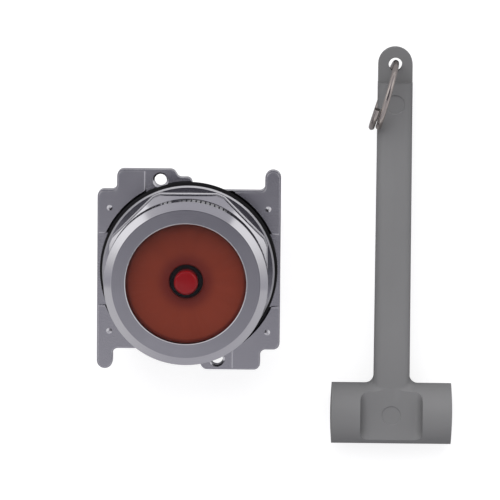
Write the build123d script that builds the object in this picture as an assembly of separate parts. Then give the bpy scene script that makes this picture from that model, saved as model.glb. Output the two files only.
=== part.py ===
from build123d import *
import os
from math import ceil, cos, pi, radians, sin, tan

# Break-glass push button for a 30.5 mm panel hole, and the hammer that breaks its glass.
# Z comes out of the front face, Y is up and X is right. The operator's axis is X = Y = 0,
# and Z = 0 is the panel plane, where the casting's corner pads meet the panel. Millimetres.

# Fits and seats
running_gap = 0.05
press_seat = 0.05
soft_gap = 0.1
glass_gap = 0.05
clip_gap = 0.02
overcut = 1.0

# Operator casting, the plate behind the panel
plate_width = 41.5
plate_height = 36.2
plate_thickness = 4.0
ear_reach = 4.65
ear_top_end = 3.5
ear_side_step = 4.4
saddle_reach = 2.85
saddle_start = 2.4
saddle_end = 0.4
saddle_foot = 1.1
finger_width = 3.6
outline_radius = 1.5
inner_radius = 1.2
pad_drop = 0.8
pad_inset = 0.35
pad_split = 9.9
side_recess = 16.4
nib_x = 17.95
nib_y = 14.05
nib_radius = 0.65
nib_point_radius = 0.13
nib_height = 0.5
screw_hole_x = 6.5
screw_hole_y = 20.35
screw_hole_radius = 1.4
screw_rim_radius = 1.8
screw_rim_depth = 0.35

# Operator casting, the box behind the plate and the threaded barrel
body_width = 39.0
body_height = 32.4
body_depth = 18.0
body_wall = 2.2
body_corner = 3.0
web_thickness = 2.4
barrel_radius = 14.9
barrel_wall = 2.5
barrel_front = 19.6
web_hole_radius = 6.5
barrel_edge = 0.5

# Panel gasket
gasket_overhang = 0.6
gasket_room = 0.45
gasket_bore_gap = 0.3
gasket_top = 0.7
gasket_edge = 0.35

# Octagonal mounting nut
flange_width = 4.6
flange_top = 2.4
flange_edge = 0.4
nut_sides = 8
nut_flat_wall = 2.8
nut_top = 7.6
nut_chamfer_angle = 30
nut_face_wall = 2.3
nut_corner_wall = 3.9
nut_foot_edge = 0.2

# Glass ring, screwed on the barrel
ring_front = 24.0
ring_lip = 0.8
ring_lip_width = 1.5
ring_aperture_edge = 0.2
ring_chamfer_width = 1.7
ring_rim_step = 1.35
ring_chamfer_drop = 1.07
ring_rim_back = 17.5
ring_skirt_wall = 2.0
ring_back = 10.5
ring_rim_edge = 0.4
ring_land = 0.45
knurl_teeth = 108
knurl_depth = 0.35
knurl_width = 0.62

# Glass and what it rests on
glass_thickness = 1.3
glass_side_gap = 0.6
glass_edge = 0.15
glass_gasket_thickness = 1.0
glass_gasket_width = 0.8
dish_rim = 1.3
dish_rim_width = 1.3
dish_hole_radius = 3.75
dish_hole_edge = 0.2
dish_depth = 1.75
dish_wall = 1.5
dish_hub_radius = 6.2
dish_hub_drop = 1.45

# Plunger and its travel
stroke = 4.5
stem_radius = 3.0
tail_radius = 2.4
stem_end = -16.5
stem_end_edge = 0.3
head_radius = 9.0
head_back = 10.6
head_thickness = 1.8
pin_radius = 1.9
pin_front_gap = 1.2
tip_radius = 2.7
tip_back = 13.2
tip_round = 0.7
seal_lip = 1.1
seal_flange_radius = 5.0
seal_flange = 0.4
spring_washer = 0.6

# Guide bush, its circlip and the spring
bush_wall = 2.15
bush_floor = 1.8
bush_top = 7.0
bush_tube_radius = 5.0
bush_tube_gap = 0.3
spigot_end = -6.95
oring_radius = 0.55
oring_sides = 8
oring_z = -3.9
gland_room = 0.1
circlip_thickness = 1.0
circlip_depth = 0.8
circlip_width = 2.2
circlip_gap_angle = 40
spring_wire = 0.5
spring_mean_radius = 7.6
spring_turns = 4.5
spring_steps = 20
spring_wire_sides = 8

# Pusher plate at the rear and what holds it on the stem
buffer_radius = 6.0
buffer_thickness = 1.2
pusher_length = 28.0
pusher_width = 9.0
pusher_thickness = 2.0
pusher_corner = 4.0
pusher_pad_x = 9.5
pusher_pad_radius = 2.2
pusher_pad_height = 1.0
stop_washer_radius = 4.8
stop_washer_thickness = 0.6
eclip_radius = 4.6
eclip_thickness = 0.6
eclip_groove = 0.5
eclip_mouth = 3.0
eclip_bay_radius = 0.7
eclip_bay_reach = 1.1

# Hammer, lying beside the operator on the same surface
hammer_x = 46.4
head_y = -34.0
eye_y = 46.35
hammer_head_radius = 7.0
hammer_head_length = 28.0
hammer_crown = 0.3
flat_height = 4.2
flat_length = 14.2
flat_round = 2.0
handle_width_head = 8.3
handle_width_eye = 7.9
handle_ridge = 4.2
handle_crown_angle = 4.8
handle_round = 2.1
handle_fillet = 1.9
tab_start = 42.2
tab_thickness = 3.5
tab_radius = 3.9
tab_root = 2.0
eye_radius = 1.55
mark_radius = 2.15
mark_depth = 0.12
mark_y = 37.4

# Wire ring through the eye
wire_radius = 0.675
loop_radius = 7.8
loop_pitch = 1.45
loop_lean = 17.5
loop_lift = 1.7
loop_seat = 7.4
loop_outer_end = 68
loop_inner_end = 26
loop_steps = 40
loop_wire_sides = 12

# Radii that follow the barrel
barrel_bore = barrel_radius - barrel_wall
flange_radius = barrel_radius + flange_width
gasket_bore = barrel_radius + gasket_bore_gap
gasket_radius = flange_radius + gasket_overhang
pad_circle_radius = gasket_radius + gasket_room
nut_across_flats = 2 * (barrel_radius + nut_flat_wall)
nut_face_radius = barrel_radius + nut_face_wall
nut_corner_radius = barrel_radius + nut_corner_wall
ring_skirt_radius = barrel_radius + ring_skirt_wall
ring_rim_radius = ring_skirt_radius + ring_rim_step
ring_face_radius = ring_rim_radius - ring_chamfer_width
ring_aperture = barrel_radius - ring_lip_width
glass_radius = barrel_radius - glass_side_gap
glass_gasket_bore = glass_radius - glass_gasket_width
dish_flat = glass_radius - dish_rim_width

# Heights that the seats give
web_front = -pad_drop
bush_floor_top = web_front + bush_floor
lip_back = ring_front - ring_lip
glass_back = lip_back - glass_thickness
dish_rim_top = glass_back - glass_gasket_thickness
dish_centre = dish_rim_top - dish_depth
head_front = head_back + head_thickness
tip_front = glass_back - glass_gap
washer_back = head_back - spring_washer
buffer_front = spigot_end - stroke - running_gap
pusher_front = buffer_front - buffer_thickness
pusher_back = pusher_front - pusher_thickness
stop_back = pusher_back - stop_washer_thickness
circlip_groove_radius = barrel_bore + circlip_depth
floor = -body_depth
hammer_plane = floor + hammer_head_radius


def turned(*profile):
    """A solid of revolution about Z from (radius, height) corners."""
    outline = Polyline(*[(radius, 0, height) for radius, height in profile], close=True)
    return revolve(make_face(outline), Axis.Z)


def tube(outer, inner, low, high):
    """A plain ring between two radii and two heights."""
    return turned((inner, low), (outer, low), (outer, high), (inner, high))


def block(x_size, y_size, low, high, x=0, y=0):
    """An upright block between two heights."""
    return Pos(x, y, (low + high) / 2) * Box(x_size, y_size, high - low)


def coil(radius, pitch, turns, steps, wire, sides, place=Plane.XY):
    """Wire bent into a helix, as short straight lengths with mitred joints."""
    count = ceil(turns * steps)
    points = []
    for i in range(count + 1):
        angle = 2 * pi * turns * i / count
        height = pitch * turns * i / count
        points.append(place.from_local_coords((radius * cos(angle), radius * sin(angle), height)))
    start = Plane(points[0], z_dir=points[1] - points[0])
    return sweep(start * RegularPolygon(wire, sides), path=Polyline(*points),
                 transition=Transition.RIGHT)


def plate_outline():
    """The casting's outline: ear and finger at the top, the same turned half round below."""
    side = plate_width / 2
    shoulder = plate_height / 2
    top = shoulder + ear_reach
    saddle = shoulder + saddle_reach
    finger_round = finger_width / 2 - 0.01
    half = [
        (-side, shoulder, outline_radius),
        (-side + ear_side_step, shoulder, inner_radius),
        (-side + ear_side_step, top, outline_radius),
        (-ear_top_end, top, outline_radius),
        (-saddle_start, saddle, inner_radius),
        (saddle_end, saddle, inner_radius),
        (saddle_foot, shoulder, inner_radius / 2),
        (side - finger_width, shoulder, inner_radius),
        (side - finger_width, top, finger_round),
        (side, top, finger_round),
    ]
    corners = half + [(-x, -y, radius) for x, y, radius in half]
    points = [(x, y) for x, y, radius in corners]
    return make_face(FilletPolyline(*points, radius=[c[2] for c in corners], close=True))


def corner_pads():
    """The four raised pads that meet the panel, cut back round the gasket and at the sides."""
    face = offset(plate_outline(), -pad_inset)
    pads = extrude(Pos(0, 0, -pad_drop) * face, pad_drop)
    pads -= Cylinder(pad_circle_radius, 4 * pad_drop)
    pads -= Box(2 * plate_width, side_recess, 4 * pad_drop)
    ear_width = pad_split + 2 * saddle_foot
    ear = block(ear_width, ear_reach * 3, -2 * pad_drop, pad_drop, ear_width / 2 - pad_split,
                plate_height / 2 + ear_reach)
    for turn in (0, 180):
        pads -= Rot(0, 0, turn) * ear
    return pads


def nib(x, y):
    """A cast point that bites through the panel's paint to earth the operator."""
    return Pos(x, y, 0) * turned(
        (0, -pad_drop / 2), (nib_radius, -pad_drop / 2), (nib_radius, 0),
        (nib_point_radius, nib_height), (0, nib_height))


def make_housing():
    plate = extrude(Pos(0, 0, -plate_thickness) * plate_outline(), plate_thickness - pad_drop)
    shell = block(body_width, body_height, -body_depth, -plate_thickness)
    shell = fillet(shell.edges().filter_by(Axis.Z), body_corner)
    hollow = block(body_width - 2 * body_wall, body_height - 2 * body_wall,
                   -body_depth - overcut, web_front - web_thickness)
    hollow = fillet(hollow.edges().filter_by(Axis.Z), body_corner - body_wall / 2)
    barrel = turned((barrel_bore, web_front - web_thickness / 2),
                    (barrel_radius, web_front - web_thickness / 2),
                    (barrel_radius, barrel_front - barrel_edge),
                    (barrel_radius - barrel_edge, barrel_front), (barrel_bore, barrel_front))
    housing = plate + shell + corner_pads() - hollow
    housing += barrel
    housing -= tube(circlip_groove_radius, barrel_bore - overcut, bush_top,
                    bush_top + circlip_thickness + 2 * press_seat)
    housing -= Pos(0, 0, web_front) * Cylinder(web_hole_radius, 4 * web_thickness)
    for side in (-1, 1):
        hole = Pos(-side * screw_hole_x, side * screw_hole_y, 0)
        housing -= hole * Cylinder(screw_hole_radius, 4 * plate_thickness)
        housing -= hole * turned((0, -pad_drop - screw_rim_depth),
                                 (screw_hole_radius, -pad_drop - screw_rim_depth),
                                 (screw_rim_radius, -pad_drop), (screw_rim_radius, overcut),
                                 (0, overcut))
        for y in (-nib_y, nib_y):
            housing += nib(side * nib_x, y)
    return housing


def make_panel_gasket():
    gasket = tube(gasket_radius, gasket_bore, -pad_drop, gasket_top)
    return chamfer(gasket.edges().filter_by(GeomType.CIRCLE).sort_by(SortBy.RADIUS)[-2:],
                   gasket_edge)


def make_mounting_nut():
    flange = Pos(0, 0, (gasket_top + flange_top) / 2) * Cylinder(
        flange_radius, flange_top - gasket_top)
    flange = chamfer(flange.edges().group_by(Axis.Z)[-1], flange_edge)
    corner_radius = nut_across_flats / 2 / cos(pi / nut_sides)
    prism = Pos(0, 0, flange_top) * extrude(
        RegularPolygon(corner_radius, nut_sides, rotation=180 / nut_sides), nut_top - flange_top)
    drop = (nut_corner_radius - nut_face_radius) * tan(radians(nut_chamfer_angle))
    turned_blank = turned((0, flange_top), (nut_corner_radius, flange_top),
                          (nut_corner_radius, nut_top - drop), (nut_face_radius, nut_top),
                          (0, nut_top))
    nut = flange + (prism & turned_blank)
    level = nut.edges().filter_by_position(Axis.Z, flange_top - 0.01, flange_top + 0.01)
    foot = [edge for edge in level if edge.length < nut_across_flats]
    nut = chamfer(foot, nut_foot_edge)
    return nut - Pos(0, 0, nut_top / 2) * Cylinder(barrel_radius + running_gap, 2 * nut_top)


def make_glass_ring():
    shoulder = ring_front - ring_chamfer_drop
    ring = turned(
        (barrel_radius + running_gap, ring_back), (ring_skirt_radius, ring_back),
        (ring_skirt_radius, ring_rim_back - ring_rim_edge),
        (ring_rim_radius - ring_rim_edge, ring_rim_back),
        (ring_rim_radius, ring_rim_back + ring_rim_edge), (ring_rim_radius, shoulder),
        (ring_face_radius, ring_front), (ring_aperture + ring_aperture_edge, ring_front),
        (ring_aperture, ring_front - ring_aperture_edge), (ring_aperture, lip_back),
        (barrel_radius + running_gap, lip_back))
    low = ring_rim_back + ring_rim_edge + ring_land
    high = shoulder - ring_land
    reach = ring_rim_radius + overcut
    groove = Polyline((ring_rim_radius - knurl_depth, 0), (reach, -knurl_width),
                      (reach, knurl_width), close=True)
    cutter = extrude(Pos(0, 0, low) * make_face(groove), high - low)
    return ring - [Rot(0, 0, 360 / knurl_teeth * i) * cutter for i in range(knurl_teeth)]


def make_glass_disc():
    glass = Pos(0, 0, (glass_back + lip_back) / 2) * Cylinder(glass_radius, glass_thickness)
    return chamfer(glass.edges().filter_by(GeomType.CIRCLE), glass_edge)


def make_glass_gasket():
    return tube(glass_radius, glass_gasket_bore, dish_rim_top, glass_back)


def make_face_dish():
    """The red dished face in the barrel's mouth, with the hole the plunger comes through."""
    seat = dish_rim_top - dish_rim
    hub_back = dish_centre - dish_hub_drop
    return turned(
        (glass_radius, seat), (glass_radius, dish_rim_top), (dish_flat, dish_rim_top),
        (dish_hole_radius + dish_hole_edge, dish_centre),
        (dish_hole_radius, dish_centre - dish_hole_edge),
        (dish_hole_radius, hub_back), (dish_hub_radius, hub_back),
        (barrel_bore - soft_gap, dish_rim_top - dish_wall - dish_rim / 2),
        (barrel_bore - soft_gap, seat))


def make_stem_seal():
    """The black sleeve in the dish's hole, which wipes the plunger's tip."""
    hub_back = dish_centre - dish_hub_drop
    inner = tip_radius + running_gap
    outer = dish_hole_radius - running_gap
    return turned((inner, hub_back - seal_flange), (seal_flange_radius, hub_back - seal_flange),
                  (seal_flange_radius, hub_back), (outer, hub_back),
                  (outer, hub_back - seal_flange + seal_lip), (inner, hub_back - seal_flange + seal_lip))


def make_plunger():
    groove_top = stop_back
    groove_end = stop_back - eclip_thickness
    return turned(
        (0, stem_end), (tail_radius - stem_end_edge, stem_end),
        (tail_radius, stem_end + stem_end_edge),
        (tail_radius, groove_end), (tail_radius - eclip_groove, groove_end),
        (tail_radius - eclip_groove, groove_top), (tail_radius, groove_top),
        (tail_radius, pusher_front), (stem_radius, pusher_front), (stem_radius, head_back),
        (head_radius, head_back), (head_radius, head_front), (pin_radius, head_front),
        (pin_radius, tip_front - pin_front_gap), (0, tip_front - pin_front_gap))


def make_button_tip():
    """The red cap on the plunger, whose end bears on the back of the glass."""
    cap = Pos(0, 0, (tip_back + tip_front) / 2) * Cylinder(tip_radius, tip_front - tip_back)
    cap = fillet(cap.edges().filter_by(GeomType.CIRCLE).group_by(Axis.Z)[-1], tip_round)
    bore_top = tip_front - pin_front_gap + running_gap
    return cap - Pos(0, 0, (tip_back + bore_top - overcut) / 2) * Cylinder(
        pin_radius + running_gap, bore_top - tip_back + overcut)


def make_spring_washer():
    return tube(head_radius, stem_radius + running_gap, washer_back, head_back)


def make_guide_bush():
    bore = stem_radius + running_gap
    outer = barrel_bore - running_gap
    gland_half = oring_radius + gland_room
    gland_radius = bore + 2 * oring_radius + running_gap
    tube_front = washer_back - bush_tube_gap
    return turned(
        (bore, spigot_end), (web_hole_radius - running_gap, spigot_end),
        (web_hole_radius - running_gap, web_front), (outer, web_front), (outer, bush_top),
        (outer - bush_wall, bush_top), (outer - bush_wall, bush_floor_top),
        (bush_tube_radius, bush_floor_top), (bush_tube_radius, tube_front), (bore, tube_front),
        (bore, oring_z + gland_half), (gland_radius, oring_z + gland_half),
        (gland_radius, oring_z - gland_half), (bore, oring_z - gland_half))


def make_stem_oring():
    section = RegularPolygon(oring_radius, oring_sides)
    centre = Plane((stem_radius + running_gap + oring_radius, 0, oring_z), z_dir=(0, -1, 0))
    return revolve(centre * section, Axis.Z)


def make_bush_circlip():
    low = bush_top + press_seat
    clip = tube(circlip_groove_radius - press_seat, circlip_groove_radius - circlip_width,
                low, low + circlip_thickness)
    reach = 2 * circlip_groove_radius
    half = radians(circlip_gap_angle / 2)
    wedge = Polyline((0, 0), (reach * cos(half), -reach * sin(half)),
                     (reach * cos(half), reach * sin(half)), close=True)
    return clip - extrude(Pos(0, 0, low - overcut) * make_face(wedge),
                          circlip_thickness + 2 * overcut)


def make_return_spring():
    length = washer_back - bush_floor_top - 2 * spring_wire
    foot = Plane((0, 0, bush_floor_top + spring_wire))
    return coil(spring_mean_radius, length / spring_turns, spring_turns, spring_steps,
                spring_wire, spring_wire_sides, foot)


def make_rear_buffer():
    return tube(buffer_radius, stem_radius + running_gap, pusher_front, buffer_front)


def make_pusher_plate():
    """The plate on the stem's tail that works the contact blocks."""
    plate = block(pusher_length, pusher_width, pusher_back, pusher_front)
    plate = fillet(plate.edges().filter_by(Axis.Z), pusher_corner)
    for side in (-1, 1):
        plate += Pos(side * pusher_pad_x, 0, pusher_back - pusher_pad_height / 2) * Cylinder(
            pusher_pad_radius, pusher_pad_height)
    return plate - Pos(0, 0, pusher_front) * Cylinder(tail_radius + running_gap,
                                                      4 * pusher_thickness)


def make_stop_washer():
    return tube(stop_washer_radius, tail_radius + running_gap, stop_back, pusher_back)


def make_e_clip():
    low = stop_back - eclip_thickness
    inner = tail_radius - eclip_groove + running_gap
    clip = tube(eclip_radius, inner, low + clip_gap, stop_back - clip_gap)
    clip -= block(2 * eclip_radius, eclip_mouth, low - overcut, stop_back + overcut,
                  x=eclip_radius)
    bay = Pos(inner + eclip_bay_reach, 0, low) * Cylinder(eclip_bay_radius, 4 * eclip_thickness)
    return clip - [Rot(0, 0, angle) * bay for angle in (70, 180, 290)]


def hammer_head():
    """A cylinder along X whose two striking faces are slightly crowned."""
    ball_radius = (hammer_head_radius ** 2 + hammer_crown ** 2) / (2 * hammer_crown)
    ball_shift = hammer_head_length / 2 - ball_radius
    head = Rot(0, 90, 0) * Cylinder(hammer_head_radius, hammer_head_length)
    for side in (-1, 1):
        head &= Pos(side * ball_shift, 0, 0) * Rot(0, 0, 90) * Sphere(ball_radius)
    return head


def head_relief():
    """What is let into the head's front to leave a flat, level with the handle."""
    relief = block(flat_length, 3 * hammer_head_radius, flat_height, 2 * hammer_head_radius)
    return fillet(relief.edges().filter_by(Axis.Y).group_by(Axis.Z)[0], flat_round)


def make_handle(length):
    """A tapering bar along Y with rounded corners and a low ridge down its front and back."""
    root = handle_width_head / 2
    tip = handle_width_eye / 2
    plan = make_face(Polyline((-root, 0), (root, 0), (tip, length), (-tip, length), close=True))
    bar = extrude(Pos(0, 0, -handle_ridge) * plan, 2 * handle_ridge)
    reach = handle_width_head
    side = handle_ridge - reach * tan(radians(handle_crown_angle))
    crown = make_face(Polyline(
        (0, handle_ridge), (reach, side), (reach, -side), (0, -handle_ridge), (-reach, -side),
        (-reach, side), close=True))
    bar &= extrude(Plane((0, 0, 0), x_dir=(1, 0, 0), z_dir=(0, -1, 0)) * crown, -length)
    corners = [edge for edge in bar.edges()
               if edge.length > length / 2 and abs(edge.center().X) > tip / 2]
    return fillet(corners, handle_round)


def make_hammer():
    """The cast hammer in its own frame: head at the origin, handle along Y."""
    handle_end = tab_start - head_y
    eye = eye_y - head_y
    tab = block(2 * tab_radius, eye - handle_end + tab_root, -tab_thickness / 2,
                tab_thickness / 2, y=(eye + handle_end - tab_root) / 2)
    tab += Pos(0, eye, 0) * Cylinder(tab_radius, tab_thickness)
    head = hammer_head()
    handle = make_handle(handle_end)
    hammer = head + handle
    hammer = fillet(new_edges(head, handle, combined=hammer), handle_fillet)
    hammer -= [head_relief(), mirror(head_relief(), Plane.XY)]
    hammer += tab
    hammer -= Pos(0, eye, 0) * Cylinder(eye_radius, 2 * tab_thickness)
    ejector_mark = Pos(0, 0, handle_ridge) * Cylinder(mark_radius, 2 * mark_depth)
    hammer -= [ejector_mark, Pos(0, mark_y - head_y, -mark_depth) * ejector_mark]
    return hammer


def make_wire_ring():
    """The split ring: a little over one turn of wire, its ends side by side."""
    lean = radians(loop_lean)
    outward = Vector(-sin(lean), -cos(lean), 0)
    across = Vector(-cos(lean), sin(lean), 0)
    up = Vector(0, 0, 1)
    sweep_angle = loop_outer_end + 360 - loop_inner_end
    start = radians(loop_outer_end)
    first = outward * cos(start) + up * sin(start)
    eye_point = Vector(hammer_x, eye_y, hammer_plane + loop_lift)
    start_shift = loop_pitch * (loop_outer_end + 180) / 360
    centre = eye_point + outward * loop_seat + across * start_shift
    place = Plane(centre, x_dir=first, z_dir=across * -1)
    return coil(loop_radius, loop_pitch, sweep_angle / 360, loop_steps, wire_radius,
                loop_wire_sides, place)


nodes = {
    "housing": make_housing(),
    "panel_gasket": make_panel_gasket(),
    "mounting_nut": make_mounting_nut(),
    "glass_ring": make_glass_ring(),
    "glass_disc": make_glass_disc(),
    "glass_gasket": make_glass_gasket(),
    "face_dish": make_face_dish(),
    "stem_seal": make_stem_seal(),
    "plunger": make_plunger(),
    "button_tip": make_button_tip(),
    "spring_washer": make_spring_washer(),
    "return_spring": make_return_spring(),
    "guide_bush": make_guide_bush(),
    "stem_oring": make_stem_oring(),
    "bush_circlip": make_bush_circlip(),
    "rear_buffer": make_rear_buffer(),
    "pusher_plate": make_pusher_plate(),
    "stop_washer": make_stop_washer(),
    "e_clip": make_e_clip(),
    "hammer": Pos(hammer_x, head_y, hammer_plane) * make_hammer(),
    "wire_ring": make_wire_ring(),
}

os.makedirs("parts", exist_ok=True)
for name, shape in nodes.items():
    shape.label = name
    export_step(shape, f"parts/{name}.step")
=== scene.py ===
import math
from functools import partial

import bmesh
import bpy
from mathutils import Matrix, Vector


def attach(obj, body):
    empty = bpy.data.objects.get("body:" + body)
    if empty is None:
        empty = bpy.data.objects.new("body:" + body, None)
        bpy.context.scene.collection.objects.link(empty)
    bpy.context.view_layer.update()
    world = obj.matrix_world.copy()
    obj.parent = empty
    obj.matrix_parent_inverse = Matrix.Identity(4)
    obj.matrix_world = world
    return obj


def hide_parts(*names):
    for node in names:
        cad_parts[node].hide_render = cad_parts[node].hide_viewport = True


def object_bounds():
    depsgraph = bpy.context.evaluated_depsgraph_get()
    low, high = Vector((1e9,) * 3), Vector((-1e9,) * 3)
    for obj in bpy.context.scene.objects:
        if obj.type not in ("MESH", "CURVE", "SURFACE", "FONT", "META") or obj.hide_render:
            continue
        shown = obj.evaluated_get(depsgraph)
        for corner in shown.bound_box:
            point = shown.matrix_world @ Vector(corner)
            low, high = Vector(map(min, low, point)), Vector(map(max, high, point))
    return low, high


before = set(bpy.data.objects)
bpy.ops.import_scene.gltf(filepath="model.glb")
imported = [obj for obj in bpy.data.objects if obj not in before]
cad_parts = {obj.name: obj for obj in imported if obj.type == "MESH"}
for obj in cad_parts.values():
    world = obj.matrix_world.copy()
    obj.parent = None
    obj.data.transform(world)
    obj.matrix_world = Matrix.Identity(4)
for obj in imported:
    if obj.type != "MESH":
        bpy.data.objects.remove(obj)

cad_low, cad_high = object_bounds()
scene = bpy.context.scene
scene.view_settings.view_transform = "Standard"
MM = 0.001


# The table that the operator and its hammer lie on. It is plain white laminate, matt, large enough
# to fill every view, and just under the lowest point of the parts.
table_reach = 6.0
table_height = cad_low.z - 0.05 * MM
table_mesh = bpy.data.meshes.new("table_top")
table_mesh.from_pydata(
    [(-table_reach, -table_reach, table_height), (table_reach, -table_reach, table_height),
     (table_reach, table_reach, table_height), (-table_reach, table_reach, table_height)],
    [], [(0, 1, 2, 3)])
table_top = bpy.data.objects.new("table_top", table_mesh)
scene.collection.objects.link(table_top)


def new_material(name):
    """A material with its Principled shader, ready for the nodes of one finish."""
    material = bpy.data.materials.new(name)
    material.use_nodes = True
    tree = material.node_tree
    return material, tree.nodes, tree.links, tree.nodes["Principled BSDF"]


def set_sockets(node, values):
    """Sets a node's plain numbers and colours by the names of its sockets."""
    for socket, value in values.items():
        node.inputs[socket].default_value = value


def tone_between(nodes, links, mask, dark, light):
    """A colour between two, by a mask."""
    mix = nodes.new("ShaderNodeMix")
    mix.data_type = "RGBA"
    set_sockets(mix, {"A": (*dark, 1), "B": (*light, 1)})
    links.new(mask, mix.inputs["Factor"])
    return mix.outputs["Result"]


def shader_between(nodes, links, mask, first, second):
    """Shows the first shader, and the second where the mask is on."""
    mix = nodes.new("ShaderNodeMixShader")
    links.new(mask, mix.inputs["Fac"])
    links.new(first.outputs["BSDF"], mix.inputs[1])
    links.new(second.outputs["BSDF"], mix.inputs[2])
    links.new(mix.outputs["Shader"], nodes["Material Output"].inputs["Surface"])


# It looks white to the camera. To the metal above it, it is a dimmer grey.
laminate, nodes, links, shader = new_material("white_laminate")
laminate_mottle = nodes.new("ShaderNodeTexNoise")
laminate_mottle.inputs["Scale"].default_value = 3.0
links.new(tone_between(nodes, links, laminate_mottle.outputs["Fac"], (0.41, 0.41, 0.41),
                       (0.44, 0.44, 0.44)), shader.inputs["Base Color"])
set_sockets(shader, {"Roughness": 0.9, "Specular IOR Level": 0.1,
                     "Emission Color": (1, 1, 1, 1), "Emission Strength": 0.76})
dim_table = nodes.new("ShaderNodeBsdfDiffuse")
dim_table.inputs["Color"].default_value = (0.42, 0.42, 0.43, 1)
ray = nodes.new("ShaderNodeLightPath")
shader_between(nodes, links, ray.outputs["Is Camera Ray"], dim_table, shader)
table_mesh.materials.append(laminate)


# The studio round the table. A broad lamp overhead gives the soft light that falls on everything.
# What the bright metal mirrors is in the world: pale walls, a dim ceiling that brightens towards
# the hammer head's side of the table, and two soft boxes, left and right beyond the other side.
def round_about(azimuth, elevation, distance):
    """A place at that bearing from the object, in degrees from +X towards +Y."""
    turn, climb = math.radians(azimuth), math.radians(elevation)
    return Vector((distance * math.cos(climb) * math.cos(turn),
                   distance * math.cos(climb) * math.sin(turn), distance * math.sin(climb)))


lamp = bpy.data.lights.new("overhead_lamp", "AREA")
lamp.shape = "RECTANGLE"
lamp.size, lamp.size_y = 2.0, 1.4
lamp.energy = 21
overhead_lamp = bpy.data.objects.new("overhead_lamp", lamp)
overhead_lamp.location = round_about(102, 50, 1.6)
overhead_lamp.rotation_euler = (-overhead_lamp.location).to_track_quat("-Z", "Y").to_euler()
overhead_lamp.visible_camera = False
overhead_lamp.visible_glossy = False
overhead_lamp.visible_transmission = False
scene.collection.objects.link(overhead_lamp)

world = bpy.data.worlds.new("studio")
scene.world = world
world.use_nodes = True
sky, sky_links = world.node_tree.nodes, world.node_tree.links
background = sky["Background"]
direction = sky.new("ShaderNodeTexCoord")


def worked_out(nodes, links, operation, first, second=None):
    """One step of arithmetic, on sockets or numbers."""
    step = nodes.new("ShaderNodeMath")
    step.operation = operation
    for socket, value in zip(step.inputs, (first, second)):
        if isinstance(value, (int, float)):
            socket.default_value = value
        elif value is not None:
            links.new(value, socket)
    return step.outputs[0]


def ramped(nodes, links, value, start, end, low=0.0, high=1.0, smooth=True):
    """Goes from low to high as the value goes from start to end."""
    ramp = nodes.new("ShaderNodeMapRange")
    ramp.interpolation_type = "SMOOTHSTEP" if smooth else "LINEAR"
    set_sockets(ramp, {"From Min": start, "From Max": end, "To Min": low, "To Max": high})
    links.new(value, ramp.inputs["Value"])
    return ramp.outputs["Result"]


def x_y_z(nodes, links, place):
    """The three coordinates of a place."""
    split = nodes.new("ShaderNodeSeparateXYZ")
    links.new(place, split.inputs[0])
    return split.outputs


sky_value = partial(worked_out, sky, sky_links)
sky_ramp = partial(ramped, sky, sky_links)


def sky_mix(mask, first, second):
    """A blend of two greys, given as sockets or numbers."""
    gap = sky_value("SUBTRACT", second, first)
    return sky_value("ADD", first, sky_value("MULTIPLY", gap, mask))


x, y, rise = x_y_z(sky, sky_links, direction.outputs["Generated"])
steep = sky_value("MAXIMUM", rise, 0.05)
slant = sky_value("ADD", sky_value("DIVIDE", y, steep),
                  sky_value("MULTIPLY", sky_value("DIVIDE", x, steep), 0.35))
ceiling = sky_ramp(slant, -0.10, -0.185, 0.07, 0.55)

# Round the room the walls pass from one brightness to the next, each between two bearings in
# degrees. They are brightest low down, and the ceiling takes over above them.
bearing = sky_value("MULTIPLY", sky_value("ARCTAN2", y, x), 180 / math.pi)
past_turn = sky_value("LESS_THAN", bearing, -90)
bearing = sky_value("ADD", bearing, sky_value("MULTIPLY", past_turn, 360))
walls = sky_ramp(bearing, -90, -15, 0.54, 0.66)
for start, end, level in ((0, 60, 0.52), (95, 125, 0.60), (150, 200, 0.70), (215, 265, 0.54)):
    walls = sky_mix(sky_ramp(bearing, start, end), walls, level)
walls = sky_mix(sky_ramp(rise, 0.24, 0.10), walls, 0.95)
grey = sky_mix(sky_ramp(rise, 0.93, 0.72), ceiling, walls)

# Each soft box fades over a few degrees at either side, and its glow falls from side to side.
box_height = sky_value("MULTIPLY", sky_ramp(rise, 0.22, 0.32), sky_ramp(rise, 0.86, 0.72))
for one_side, other_side, glow in (((125.0, 128.5), (191.5, 190.0), (150, 189, 1.22, 0.46)),
                                   ((51.5, 49.0), (-13.0, -11.5), (32, -14, 1.12, 0.50))):
    box_width = sky_value("MULTIPLY", sky_ramp(bearing, *one_side), sky_ramp(bearing, *other_side))
    soft_box = sky_value("MULTIPLY", box_width, box_height)
    grey = sky_mix(soft_box, grey, sky_ramp(bearing, *glow))

ray = sky.new("ShaderNodeLightPath")
grey = sky_mix(ray.outputs["Is Camera Ray"], grey, 0.95)
dim_tint, bright_tint = (0.93, 0.905, 1.10), (1.0, 0.995, 1.01)
sky_links.new(grey, background.inputs["Strength"])
sky_links.new(tone_between(sky, sky_links, sky_ramp(grey, 0.10, 0.80), dim_tint, bright_tint),
              background.inputs["Color"])


# The camera looks down on the table from a little beyond the operator's top edge, from about a
# metre, as in the photograph, with a hair of roll.
focal_pixels, picture_pixels, sensor = 4716, 500, 36
aim_point = Vector((13.863, 4.758, 0)) * MM
distance = 1067 * MM
lean_x, lean_y, roll = math.radians(0.8), math.radians(7.3), math.radians(0.5)
back = Vector((math.sin(lean_x), math.sin(lean_y), 0))
back.z = math.sqrt(1 - back.x ** 2 - back.y ** 2)
across = Vector((0, 1, 0)).cross(back).normalized()
upright = back.cross(across)
right = math.cos(roll) * across + math.sin(roll) * upright
top = math.cos(roll) * upright - math.sin(roll) * across


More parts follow.
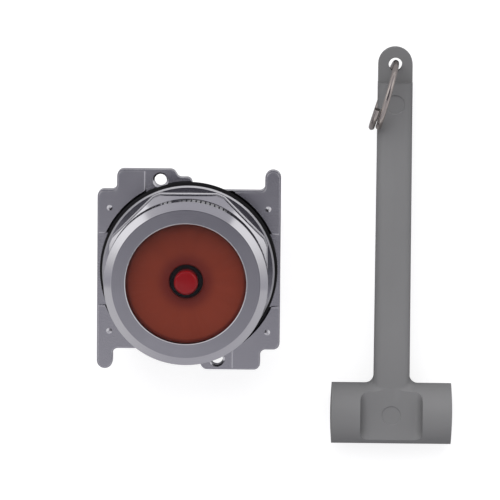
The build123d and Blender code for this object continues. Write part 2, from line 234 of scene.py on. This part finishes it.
def frame_at(origin, x_axis, y_axis, z_axis):
    """The matrix of a frame with that origin and those three axes."""
    return Matrix((
        (x_axis.x, y_axis.x, z_axis.x, origin.x), (x_axis.y, y_axis.y, z_axis.y, origin.y),
        (x_axis.z, y_axis.z, z_axis.z, origin.z), (0, 0, 0, 1)))


camera_data = bpy.data.cameras.new("camera")
camera_data.sensor_width = sensor
camera_data.lens = sensor * focal_pixels / picture_pixels
camera_data.clip_start, camera_data.clip_end = 0.05, 50
camera = bpy.data.objects.new("camera", camera_data)
camera.matrix_world = frame_at(aim_point + distance * back, right, top, back)
scene.collection.objects.link(camera)
scene.camera = camera


# The operator's casting: plate, box and barrel in one zinc die casting with a satin plating.
# Its skin is faintly grainy, and every edge is broken a little by tumbling. The glass ring and
# the nut screw on its barrel.
def shade_round(work, sharp):
    """Turns the faces outward and makes them smooth, with edges sharper than that left crisp."""
    bmesh.ops.recalc_face_normals(work, faces=work.faces)
    for line in work.edges:
        line.smooth = math.degrees(line.calc_face_angle(0)) < sharp
    for face in work.faces:
        face.smooth = True


def piece_of(name, mesh, work):
    """Writes the worked mesh and puts it in the scene as a piece."""
    work.to_mesh(mesh)
    work.free()
    piece = bpy.data.objects.new(name, mesh)
    scene.collection.objects.link(piece)
    return piece


def finished_copy(node, body, material, edge=0.12, sharp=32, bevel_where=None):
    """The node's own shape as one closed mesh, smooth where it is round, with broken edges."""
    merge_gap, flat_angle, share_of_face = 0.0005 * MM, math.radians(0.3), 0.4
    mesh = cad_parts[node].data.copy()
    mesh.materials.clear()
    mesh.materials.append(material)
    work = bmesh.new()
    work.from_mesh(mesh)
    bmesh.ops.remove_doubles(work, verts=work.verts, dist=merge_gap)
    bmesh.ops.dissolve_limit(work, angle_limit=flat_angle, verts=work.verts, edges=work.edges)
    shade_round(work, sharp)
    weights = work.edges.layers.float.new("bevel_weight_edge")
    for line in work.edges:
        if not line.smooth and (bevel_where is None or bevel_where(line)):
            room = min(face.calc_area() for face in line.link_faces) / line.calc_length()
            line[weights] = min(1.0, share_of_face * room / (edge * MM))
    piece = piece_of(node + "_finished", mesh, work)
    bevel = piece.modifiers.new("broken_edges", "BEVEL")
    bevel.limit_method = "WEIGHT"
    bevel.width = edge * MM
    bevel.segments = 2
    bevel.harden_normals = True
    bevel.use_clamp_overlap = True
    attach(piece, body)
    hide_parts(node)
    return piece


def new_group(name, outputs, inputs=("Vector",)):
    """An empty shader group with named inputs and outputs, and the node at each end."""
    group = bpy.data.node_groups.new(name, "ShaderNodeTree")
    for label in inputs:
        kind = "Vector" if label == "Vector" else "Float"
        group.interface.new_socket(label, in_out="INPUT", socket_type="NodeSocket" + kind)
    for label in outputs:
        group.interface.new_socket(label, in_out="OUTPUT", socket_type="NodeSocketFloat")
    come, go = group.nodes.new("NodeGroupInput"), group.nodes.new("NodeGroupOutput")
    return group, group.nodes, group.links, come, go


def grain_group():
    """Grain of a cast or plated skin: a mottle for tone and roughness, and a height for bump."""
    group, inside, wires, come, go = new_group(
        "cast_grain", ("Mottle", "Height"), ("Vector", "Fine Scale", "Broad Scale"))
    for scale, detail, output in (("Fine Scale", 3, "Height"), ("Broad Scale", 4, "Mottle")):
        noise = inside.new("ShaderNodeTexNoise")
        noise.inputs["Detail"].default_value = detail
        wires.new(come.outputs["Vector"], noise.inputs["Vector"])
        wires.new(come.outputs[scale], noise.inputs["Scale"])
        wires.new(noise.outputs["Fac"], go.inputs[output])
    return group


cast_grain = grain_group()


def add_group(nodes, links, tree):
    """Places a group in a material, on the piece's own coordinates."""
    place = nodes.new("ShaderNodeTexCoord")
    group = nodes.new("ShaderNodeGroup")
    group.node_tree = tree
    links.new(place.outputs["Object"], group.inputs["Vector"])
    return group


def add_grain(nodes, links, fine, broad):
    """Places the grain, with the scales of its fine skin and its broad mottle."""
    grain = add_group(nodes, links, cast_grain)
    set_sockets(grain, {"Fine Scale": fine, "Broad Scale": broad})
    return grain


def value_between(nodes, links, mottle, low, high):
    """A number between two, by a mottle, whose values lie mostly between 0.3 and 0.7."""
    return ramped(nodes, links, mottle, 0.3, 0.7, low, high, smooth=False)


def laid_over(nodes, links, under, mask, shade):
    """A colour with a shade laid over it where the mask shows."""
    layer = nodes.new("ShaderNodeMix")
    layer.data_type = "RGBA"
    layer.inputs["B"].default_value = (*shade, 1)
    links.new(mask, layer.inputs["Factor"])
    links.new(under, layer.inputs["A"])
    return layer.outputs["Result"]


def bumped(nodes, links, shader, height, depth, strength, over=None):
    """Feeds a height to the shader's normal, over another bump; depth is in millimetres."""
    bump = nodes.new("ShaderNodeBump")
    set_sockets(bump, {"Strength": strength, "Distance": depth * MM})
    links.new(height, bump.inputs["Height"])
    if over:
        links.new(over.outputs["Normal"], bump.inputs["Normal"])
    links.new(bump.outputs["Normal"], shader.inputs["Normal"])
    return bump


def from_axis(nodes, links, place):
    """The way from the Z axis straight out to a place."""
    flat = nodes.new("ShaderNodeVectorMath")
    flat.operation = "MULTIPLY"
    flat.inputs[1].default_value = (1, 1, 0)
    links.new(place, flat.inputs[0])
    return flat.outputs["Vector"]


def axis_distance(nodes, links, place):
    """How far a place is from the Z axis."""
    radius = nodes.new("ShaderNodeVectorMath")
    radius.operation = "LENGTH"
    links.new(from_axis(nodes, links, place), radius.inputs[0])
    return radius.outputs["Value"]


def pad_edges_and_shade_group():
    """A painted shade in the narrow recess between the gasket and the pads, standing in for the
    shadow in that gap, and the height of the pads' broken edges, in millimetres."""
    recess_inner, recess_outer = 19.5 * MM, 20.6 * MM
    pad_level, recess_level = -0.1 * MM, -1.2 * MM
    recess_shade_left, recess_shade_start = -9.7 * MM, 8.3 * MM
    side_start, ear_left, ear_right, ear_start = 8.2 * MM, -9.9 * MM, 2.2 * MM, 17.5 * MM
    edge_width, edge_drop = 0.3 * MM, 0.2
    group, inside, wires, come, go = new_group("pad_edges_and_recess_shade", ("Recess Shade", "Height"))
    step = partial(worked_out, inside, wires)
    place = come.outputs["Vector"]

    def within(value, low, high):
        return step("MULTIPLY", step("GREATER_THAN", value, low), step("LESS_THAN", value, high))

    def broken(gap):
        return ramped(inside, wires, gap, 0.0, edge_width, smooth=False)

    x, y, z = x_y_z(inside, wires, place)
    along = step("ABSOLUTE", y)
    beside = step("MULTIPLY", x, step("SIGN", y))
    radius = axis_distance(inside, wires, place)
    # The painted shade: a near-black band in the recess round the gasket, beside the pads.
    recess = step("MULTIPLY", within(radius, recess_inner, recess_outer),
                  within(z, recess_level, pad_level))
    by_pad = step("MAXIMUM", step("LESS_THAN", beside, recess_shade_left),
                  step("GREATER_THAN", beside, ear_right))
    by_pad = step("MULTIPLY", by_pad, step("GREATER_THAN", along, recess_shade_start))
    wires.new(step("MULTIPLY", recess, by_pad), go.inputs["Recess Shade"])

    side_edge = broken(step("SUBTRACT", along, side_start))
    ear_edge = broken(step("MAXIMUM", step("SUBTRACT", ear_left, beside),
                           step("SUBTRACT", beside, ear_right)))
    ear_edge = step("MAXIMUM", ear_edge, step("LESS_THAN", along, ear_start))
    edges = step("MINIMUM", side_edge, ear_edge)
    edges = step("MAXIMUM", edges, step("LESS_THAN", z, pad_level))
    wires.new(step("MULTIPLY", edges, edge_drop), go.inputs["Height"])
    return group


cast_metal, nodes, links, shader = new_material("satin_die_casting")
shader.inputs["Metallic"].default_value = 1.0
grain = add_grain(nodes, links, 2600, 160)
pads = add_group(nodes, links, pad_edges_and_shade_group())
plating = tone_between(nodes, links, grain.outputs["Mottle"], (0.585, 0.578, 0.607),
                       (0.695, 0.688, 0.720))
# The recess round the gasket is painted near black: painted shade for the shadow in that narrow
# gap.
links.new(laid_over(nodes, links, plating, pads.outputs["Recess Shade"], (0.02, 0.02, 0.022)),
          shader.inputs["Base Color"])
links.new(value_between(nodes, links, grain.outputs["Mottle"], 0.16, 0.24),
          shader.inputs["Roughness"])
broken_edges = bumped(nodes, links, shader, pads.outputs["Height"], 1.0, 1.0)
bumped(nodes, links, shader, grain.outputs["Height"], 0.02, 0.25, over=broken_edges)
casting = finished_copy("housing", "operator", cast_metal, edge=0.18)

# The barrel is cut down to its thread's root, and the thread's ridge is wound on it.
barrel_radius, thread_root, barrel_foot = 14.9 * MM, 14.05 * MM, -0.9 * MM
for corner in casting.data.vertices:
    on_barrel = abs(corner.co.xy.length - barrel_radius) < 0.05 * MM
    if on_barrel and corner.co.z > barrel_foot:
        corner.co.xy *= thread_root / barrel_radius


def winding_tree(name, threaded):
    """Geometry nodes that wind a round wire or a thread's ridge into a helix about Z."""
    ridge_shape = (("Bottom Width", 1.45), ("Top Width", 0.2), ("Height", 1.0))
    tree = bpy.data.node_groups.new(name, "GeometryNodeTree")
    sockets = {}
    for label, kind, value in (("Radius", "Float", 0.01), ("Rise", "Float", 0.01),
                               ("Turns", "Float", 1.0), ("Steps Per Turn", "Int", 64),
                               ("Wire Radius", "Float", 0.0005), ("Finish", "Material", None)):
        socket = tree.interface.new_socket(label, in_out="INPUT",
                                           socket_type="NodeSocket" + kind)
        if value is not None:
            socket.default_value = value
        sockets[label] = socket.identifier
    tree.interface.new_socket("Geometry", in_out="OUTPUT", socket_type="NodeSocketGeometry")
    inside, wires = tree.nodes, tree.links
    come, go = inside.new("NodeGroupInput"), inside.new("NodeGroupOutput")
    path = inside.new("GeometryNodeCurveSpiral")
    for socket, label in (("Rotations", "Turns"), ("Start Radius", "Radius"),
                          ("End Radius", "Radius"), ("Height", "Rise"),
                          ("Resolution", "Steps Per Turn")):
        wires.new(come.outputs[label], path.inputs[socket])
    path.inputs["Reverse"].default_value = True
    level = inside.new("GeometryNodeSetCurveNormal")
    level.mode = "Z_UP"
    wires.new(path.outputs["Curve"], level.inputs["Curve"])
    if threaded:
        section = inside.new("GeometryNodeCurvePrimitiveQuadrilateral")
        section.mode = "TRAPEZOID"
        section.inputs["Offset"].default_value = 0
        for label, wire_radii in ridge_shape:
            size = worked_out(inside, wires, "MULTIPLY", come.outputs["Wire Radius"], wire_radii)
            wires.new(size, section.inputs[label])
        turn = inside.new("GeometryNodeTransform")
        turn.inputs["Rotation"].default_value = (0, 0, math.radians(90))
        wires.new(section.outputs[0], turn.inputs["Geometry"])
        outline = turn.outputs["Geometry"]
    else:
        section = inside.new("GeometryNodeCurvePrimitiveCircle")
        section.inputs["Resolution"].default_value = 20
        wires.new(come.outputs["Wire Radius"], section.inputs["Radius"])
        outline = section.outputs["Curve"]
    sweep = inside.new("GeometryNodeCurveToMesh")
    sweep.inputs["Fill Caps"].default_value = True
    wires.new(level.outputs["Curve"], sweep.inputs["Curve"])
    wires.new(outline, sweep.inputs["Profile Curve"])
    real = inside.new("GeometryNodeRealizeInstances")
    wires.new(sweep.outputs["Mesh"], real.inputs["Geometry"])
    finish = inside.new("GeometryNodeSetMaterial")
    wires.new(real.outputs["Geometry"], finish.inputs["Geometry"])
    wires.new(come.outputs["Finish"], finish.inputs["Material"])
    wires.new(finish.outputs["Geometry"], go.inputs["Geometry"])
    return tree, sockets


def wound(name, tree_and_sockets, values, place, sharp=40):
    """The wound shape as a plain mesh, moved to its place, with its faces outward."""
    tree, sockets = tree_and_sockets
    holder = bpy.data.objects.new(name + "_winding", bpy.data.meshes.new(name + "_winding"))
    scene.collection.objects.link(holder)
    winding = holder.modifiers.new("winding", "NODES")
    winding.node_group = tree
    for label, value in values.items():
        winding[sockets[label]] = value
    evaluated = holder.evaluated_get(bpy.context.evaluated_depsgraph_get())
    mesh = bpy.data.meshes.new_from_object(evaluated)
    bpy.data.objects.remove(holder)
    mesh.name = name
    mesh.transform(place)
    work = bmesh.new()
    work.from_mesh(mesh)
    shade_round(work, sharp)
    return piece_of(name, mesh, work)


thread_pitch, thread_depth = 1.5 * MM, 0.9 * MM
thread_low, thread_high = 1.0 * MM, 18.5 * MM
barrel_thread = wound(
    "barrel_thread", winding_tree("thread_winding", True),
    {"Radius": barrel_radius - thread_depth / 2, "Rise": thread_high - thread_low,
     "Turns": (thread_high - thread_low) / thread_pitch, "Steps Per Turn": 96,
     "Wire Radius": thread_depth, "Finish": cast_metal},
    Matrix.Translation((0, 0, thread_low)), sharp=25)
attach(barrel_thread, "operator")


# The panel gasket: a ring of moulded black rubber that lies under the nut and stands out a
# little past it all round.
def grained_material(name, scales, dark, light, skin, constants, rough=None):
    """A material whose tone and skin follow the grain, and its gloss too where rough is given."""
    material, nodes, links, shader = new_material(name)
    set_sockets(shader, constants)
    grain = add_grain(nodes, links, *scales)
    links.new(tone_between(nodes, links, grain.outputs["Mottle"], dark, light),
              shader.inputs["Base Color"])
    if rough:
        links.new(value_between(nodes, links, grain.outputs["Mottle"], *rough),
                  shader.inputs["Roughness"])
    bumped(nodes, links, shader, grain.outputs["Height"], *skin)
    return material


black_rubber = grained_material(
    "black_rubber", (1800, 250), (0.003, 0.003, 0.0035), (0.008, 0.0075, 0.0085),
    skin=(0.03, 0.3), constants={"Specular IOR Level": 0.15}, rough=(0.5, 0.65))
finished_copy("panel_gasket", "operator", black_rubber, edge=0.08, sharp=50)


# The mounting nut: an octagon with a round flange, turned and milled from bar and satin plated.
# Turning leaves fine circles on its face, and the flange falls away a hair towards its rim.
def flange_group():
    """The height by which the flange falls towards its rim, in millimetres."""
    fall_start, rim, flange_top, drop = 16.0 * MM, 20.0 * MM, 3.0 * MM, -0.28
    group, inside, wires, come, go = new_group("flange_fall", ("Height",))
    place = come.outputs["Vector"]
    fall = ramped(inside, wires, axis_distance(inside, wires, place), fall_start, rim, 0.0, drop,
                  smooth=False)
    height = x_y_z(inside, wires, place)["Z"]
    on_flange = worked_out(inside, wires, "LESS_THAN", height, flange_top)
    wires.new(worked_out(inside, wires, "MULTIPLY", fall, on_flange), go.inputs["Height"])
    return group


turned_metal, nodes, links, shader = new_material("turned_plated_metal")
set_sockets(shader, {"Metallic": 1.0, "Anisotropic": 0.45})
grain = add_grain(nodes, links, 3200, 220)
slope = add_group(nodes, links, flange_group())
place = nodes.new("ShaderNodeTexCoord")
circles = nodes.new("ShaderNodeTexNoise")
circles.noise_dimensions = "1D"
set_sockets(circles, {"Scale": 9000, "Detail": 2})
links.new(axis_distance(nodes, links, place.outputs["Object"]), circles.inputs["W"])
links.new(tone_between(nodes, links, circles.outputs["Fac"], (0.540, 0.533, 0.557),
                       (0.635, 0.628, 0.655)), shader.inputs["Base Color"])
links.new(value_between(nodes, links, grain.outputs["Mottle"], 0.10, 0.16),
          shader.inputs["Roughness"])
turning = nodes.new("ShaderNodeTangent")
turning.direction_type = "RADIAL"
turning.axis = "Z"
links.new(turning.outputs["Tangent"], shader.inputs["Tangent"])
falling = bumped(nodes, links, shader, slope.outputs["Height"], 1.0, 1.0)
bumped(nodes, links, shader, circles.outputs["Fac"], 0.01, 0.15, over=falling)
finished_copy("mounting_nut", "operator", turned_metal, edge=0.1, sharp=25)


# The glass ring: turned, knurled round its rim and chamfered, it screws on the barrel and holds
# the glass under its lip. The knurl's own edges stay crisp.
knurl_low, knurl_high = 17.4 * MM, 22.9 * MM


def off_the_knurl(line):
    """True for an edge that lies wholly above the knurl or wholly below it."""
    heights = [end.co.z for end in line.verts]
    return min(heights) > knurl_high or max(heights) < knurl_low


finished_copy("glass_ring", "glass_ring", turned_metal, edge=0.12, sharp=25,
              bevel_where=off_the_knurl)


# The glass: a clear disc of sheet glass with a ground edge, loose under the ring's lip. It lets
# the lamp's light through to the red face.
clear_glass, nodes, links, shader = new_material("clear_glass")
set_sockets(shader, {"Transmission Weight": 1.0, "IOR": 1.22, "Specular IOR Level": 0.3})
grain = add_grain(nodes, links, 400, 60)
links.new(tone_between(nodes, links, grain.outputs["Mottle"], (0.93, 0.97, 0.95),
                       (0.97, 0.99, 0.98)), shader.inputs["Base Color"])
links.new(value_between(nodes, links, grain.outputs["Mottle"], 0.0, 0.03),
          shader.inputs["Roughness"])
see_through = nodes.new("ShaderNodeBsdfTransparent")
see_through.inputs["Color"].default_value = (0.95, 0.97, 0.96, 1)
ray = nodes.new("ShaderNodeLightPath")
shader_between(nodes, links, ray.outputs["Is Shadow Ray"], shader, see_through)
finished_copy("glass_disc", "glass", clear_glass, edge=0.05)


# The dished face behind the glass, moulded in dull red plastic. Its colour carries faint radial
# streaks of painted sheen for the reflections on the glossy dish, a painted shade at its edge
# where it meets the ring, and a painted shade round the sleeve at its centre. A black rubber
# sleeve stands round the plunger in its middle, and a black gasket lies between it and the glass.
def dish_group():
    """Masks for painted light on the dish: shade at its edge, shade round its centre, and faint
    radial streaks of sheen.
    """
    group, inside, wires, come, go = new_group("dish_shading", ("Rim Shade", "Centre Shade", "Streaks"))
    place = come.outputs["Vector"]
    radius = axis_distance(inside, wires, place)
    for mask, start, end in (("Rim Shade", 12.5, 13.25), ("Centre Shade", 7.4, 3.8)):
        wires.new(ramped(inside, wires, radius, start * MM, end * MM), go.inputs[mask])
    spoke = inside.new("ShaderNodeVectorMath")
    spoke.operation = "NORMALIZE"
    wires.new(from_axis(inside, wires, place), spoke.inputs[0])
    sheen_noise = inside.new("ShaderNodeTexNoise")
    set_sockets(sheen_noise, {"Scale": 3.2, "Detail": 2.5})
    wires.new(spoke.outputs[0], sheen_noise.inputs["Vector"])
    wires.new(sheen_noise.outputs["Fac"], go.inputs["Streaks"])
    return group


red_face, nodes, links, shader = new_material("dull_red_moulding")
shader.inputs["Specular IOR Level"].default_value = 0.3
grain = add_grain(nodes, links, 1500, 120)
shading = add_group(nodes, links, dish_group())
# Painted sheen: the red's tone changes in radial streaks, for the reflections on the glossy dish.
sheen_streaked = ramped(nodes, links, shading.outputs["Streaks"], 0.15, 0.85, smooth=False)
red = tone_between(nodes, links, sheen_streaked, (0.227, 0.030, 0.013), (0.268, 0.038, 0.017))
# Painted shade: darker red round the sleeve at the centre, and at the edge under the ring's lip.
for mask, shade in (("Centre Shade", (0.150, 0.014, 0.009)), ("Rim Shade", (0.115, 0.012, 0.006))):
    red = laid_over(nodes, links, red, shading.outputs[mask], shade)
links.new(red, shader.inputs["Base Color"])
links.new(value_between(nodes, links, grain.outputs["Mottle"], 0.40, 0.55),
          shader.inputs["Roughness"])
bumped(nodes, links, shader, grain.outputs["Height"], 0.02, 0.2)
finished_copy("face_dish", "operator", red_face, edge=0.1)
finished_copy("stem_seal", "operator", black_rubber, edge=0.05, sharp=50)


def refinish(node, material):
    """Gives a node that keeps its own shape a better material."""
    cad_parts[node].data.materials.clear()
    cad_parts[node].data.materials.append(material)


refinish("glass_gasket", black_rubber)


# The plunger's red cap, moulded in glossy plastic with a rounded end and pressed on the stem. The
# glass in front of it keeps the plunger pushed in.
red_cap = grained_material(
    "glossy_red_cap", (900, 200), (0.29, 0.003, 0.006), (0.33, 0.005, 0.009),
    skin=(0.01, 0.1), constants={"Roughness": 0.14, "Specular IOR Level": 0.35})
finished_copy("button_tip", "plunger", red_cap, edge=0.05)


# The stem and its guide bush, moulded in pale acetal. The bush sits in the barrel, and the stem
# runs in it.
pale_plastic = grained_material(
    "natural_acetal", (1200, 150), (0.60, 0.57, 0.50), (0.68, 0.65, 0.58),
    skin=(0.02, 0.2), constants={"Roughness": 0.42})
finished_copy("guide_bush", "operator", pale_plastic, edge=0.1)
finished_copy("plunger", "plunger", pale_plastic, edge=0.08)


# The small hardware on the stem and in the barrel: plate, washers, clips and springs in bright
# zinc-plated steel, a rubber buffer and an O-ring. Most of it is seen only from the back.
zinc_plate = grained_material(
    "bright_zinc_plate", (2200, 300), (0.52, 0.53, 0.52), (0.66, 0.67, 0.67),
    skin=(0.01, 0.2), constants={"Metallic": 1.0}, rough=(0.22, 0.38))
for node in ("pusher_plate", "stop_washer", "e_clip"):
    finished_copy(node, "plunger", zinc_plate, edge=0.06)
finished_copy("rear_buffer", "plunger", black_rubber, edge=0.1, sharp=50)
for node in ("spring_washer", "return_spring", "bush_circlip"):
    refinish(node, zinc_plate)
refinish("stem_oring", black_rubber)


# The hammer: one dull grey casting, head, handle and eye, with the round marks that the
# ejector pins left on its front.
hammer_x = 46.4 * MM


def hammer_marks_and_shade_group():
    """The hammer's marks and painted shade: the height of the two round ejector marks, a painted
    shade along the sides of the flat on its head, and a tone that darkens along the handle towards
    the eye."""
    upper_mark, flat_middle, front_level = 37.4 * MM, -34.0 * MM, -10.0 * MM
    mark_inner, mark_outer = 1.95 * MM, 2.35 * MM
    side_shade_inner, side_shade_outer, flat_side = 5.2 * MM, 6.8 * MM, 7.15 * MM
    side_shade_end, side_shade_start = 5.6 * MM, 3.2 * MM
    eye_darkening_start, eye_darkening_end = 20.0 * MM, 44.0 * MM
    group, inside, wires, come, go = new_group("hammer_marks_and_shade", ("Height", "Side Shade", "Darker To Eye"))
    step = partial(worked_out, inside, wires)
    fade = partial(ramped, inside, wires)
    x, y, z = x_y_z(inside, wires, come.outputs["Vector"])
    aside = step("SUBTRACT", x, hammer_x)
    rims = []
    for middle in (upper_mark, flat_middle):
        along = step("SUBTRACT", y, middle)
        radius = step("SQRT", step("ADD", step("MULTIPLY", aside, aside),
                                   step("MULTIPLY", along, along)))
        rims.append(fade(radius, mark_inner, mark_outer))
    wires.new(step("MULTIPLY", *rims), go.inputs["Height"])
    # The painted shade: a band along each side of the flat, on the head's front.
    width = step("ABSOLUTE", aside)
    band = step("MULTIPLY", fade(width, side_shade_inner, side_shade_outer),
                step("LESS_THAN", width, flat_side))
    length = fade(step("ABSOLUTE", step("SUBTRACT", y, flat_middle)), side_shade_end, side_shade_start)
    front = step("GREATER_THAN", z, front_level)
    wires.new(step("MULTIPLY", step("MULTIPLY", band, length), front), go.inputs["Side Shade"])
    wires.new(fade(y, eye_darkening_start, eye_darkening_end), go.inputs["Darker To Eye"])
    return group


hammer_grey, nodes, links, shader = new_material("dull_grey_casting")
grain = add_grain(nodes, links, 2400, 90)
marks = add_group(nodes, links, hammer_marks_and_shade_group())
dull_grey = tone_between(nodes, links, grain.outputs["Mottle"], (0.186, 0.186, 0.186),
                         (0.215, 0.215, 0.215))
# Painted shade along the sides of the head's flat; the handle's tone darkens towards the eye.
for mask, shade in (("Darker To Eye", (0.163, 0.163, 0.163)), ("Side Shade", (0.145, 0.145, 0.145))):
    dull_grey = laid_over(nodes, links, dull_grey, marks.outputs[mask], shade)
links.new(dull_grey, shader.inputs["Base Color"])
links.new(value_between(nodes, links, grain.outputs["Mottle"], 0.5, 0.62),
          shader.inputs["Roughness"])
cast_skin = bumped(nodes, links, shader, grain.outputs["Height"], 0.03, 0.25)
bumped(nodes, links, shader, marks.outputs["Height"], 0.25, 0.6, over=cast_skin)
finished_copy("hammer", "hammer", hammer_grey, edge=0.2, sharp=25)


# The wire ring through the hammer's eye, a little over one turn of nickel-plated spring wire
# that has gone dark. It hangs loose in the eye, and its two ends lie side by side.
dark_steel = grained_material(
    "dark_nickel_wire", (1500, 500), (0.40, 0.355, 0.33), (0.54, 0.49, 0.46),
    skin=(0.01, 0.2), constants={"Metallic": 1.0}, rough=(0.17, 0.27))
eye_y, hammer_plane = 46.35 * MM, -11.0 * MM
wire_radius, loop_radius, loop_pitch = 0.675 * MM, 7.8 * MM, 1.45 * MM
loop_lean, loop_lift, loop_seat = math.radians(17.5), 1.7 * MM, 7.4 * MM
outer_end, inner_end = math.radians(68), math.radians(26)
whole_turn = 2 * math.pi
turns = (outer_end + whole_turn - inner_end) / whole_turn
outward = Vector((-math.sin(loop_lean), -math.cos(loop_lean), 0))
across_loop = Vector((-math.cos(loop_lean), math.sin(loop_lean), 0))
first = outward * math.cos(outer_end) + Vector((0, 0, math.sin(outer_end)))
axis = -across_loop
centre = Vector((hammer_x, eye_y, hammer_plane + loop_lift)) + outward * loop_seat
centre += across_loop * loop_pitch * (outer_end + math.pi) / whole_turn
smooth_ring = wound(
    "smooth_wire_ring", winding_tree("wire_winding", False),
    {"Radius": loop_radius, "Rise": loop_pitch * turns, "Turns": turns, "Steps Per Turn": 96,
     "Wire Radius": wire_radius, "Finish": dark_steel},
    frame_at(centre, first, axis.cross(first), axis))
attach(smooth_ring, "wire_ring")
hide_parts("wire_ring")
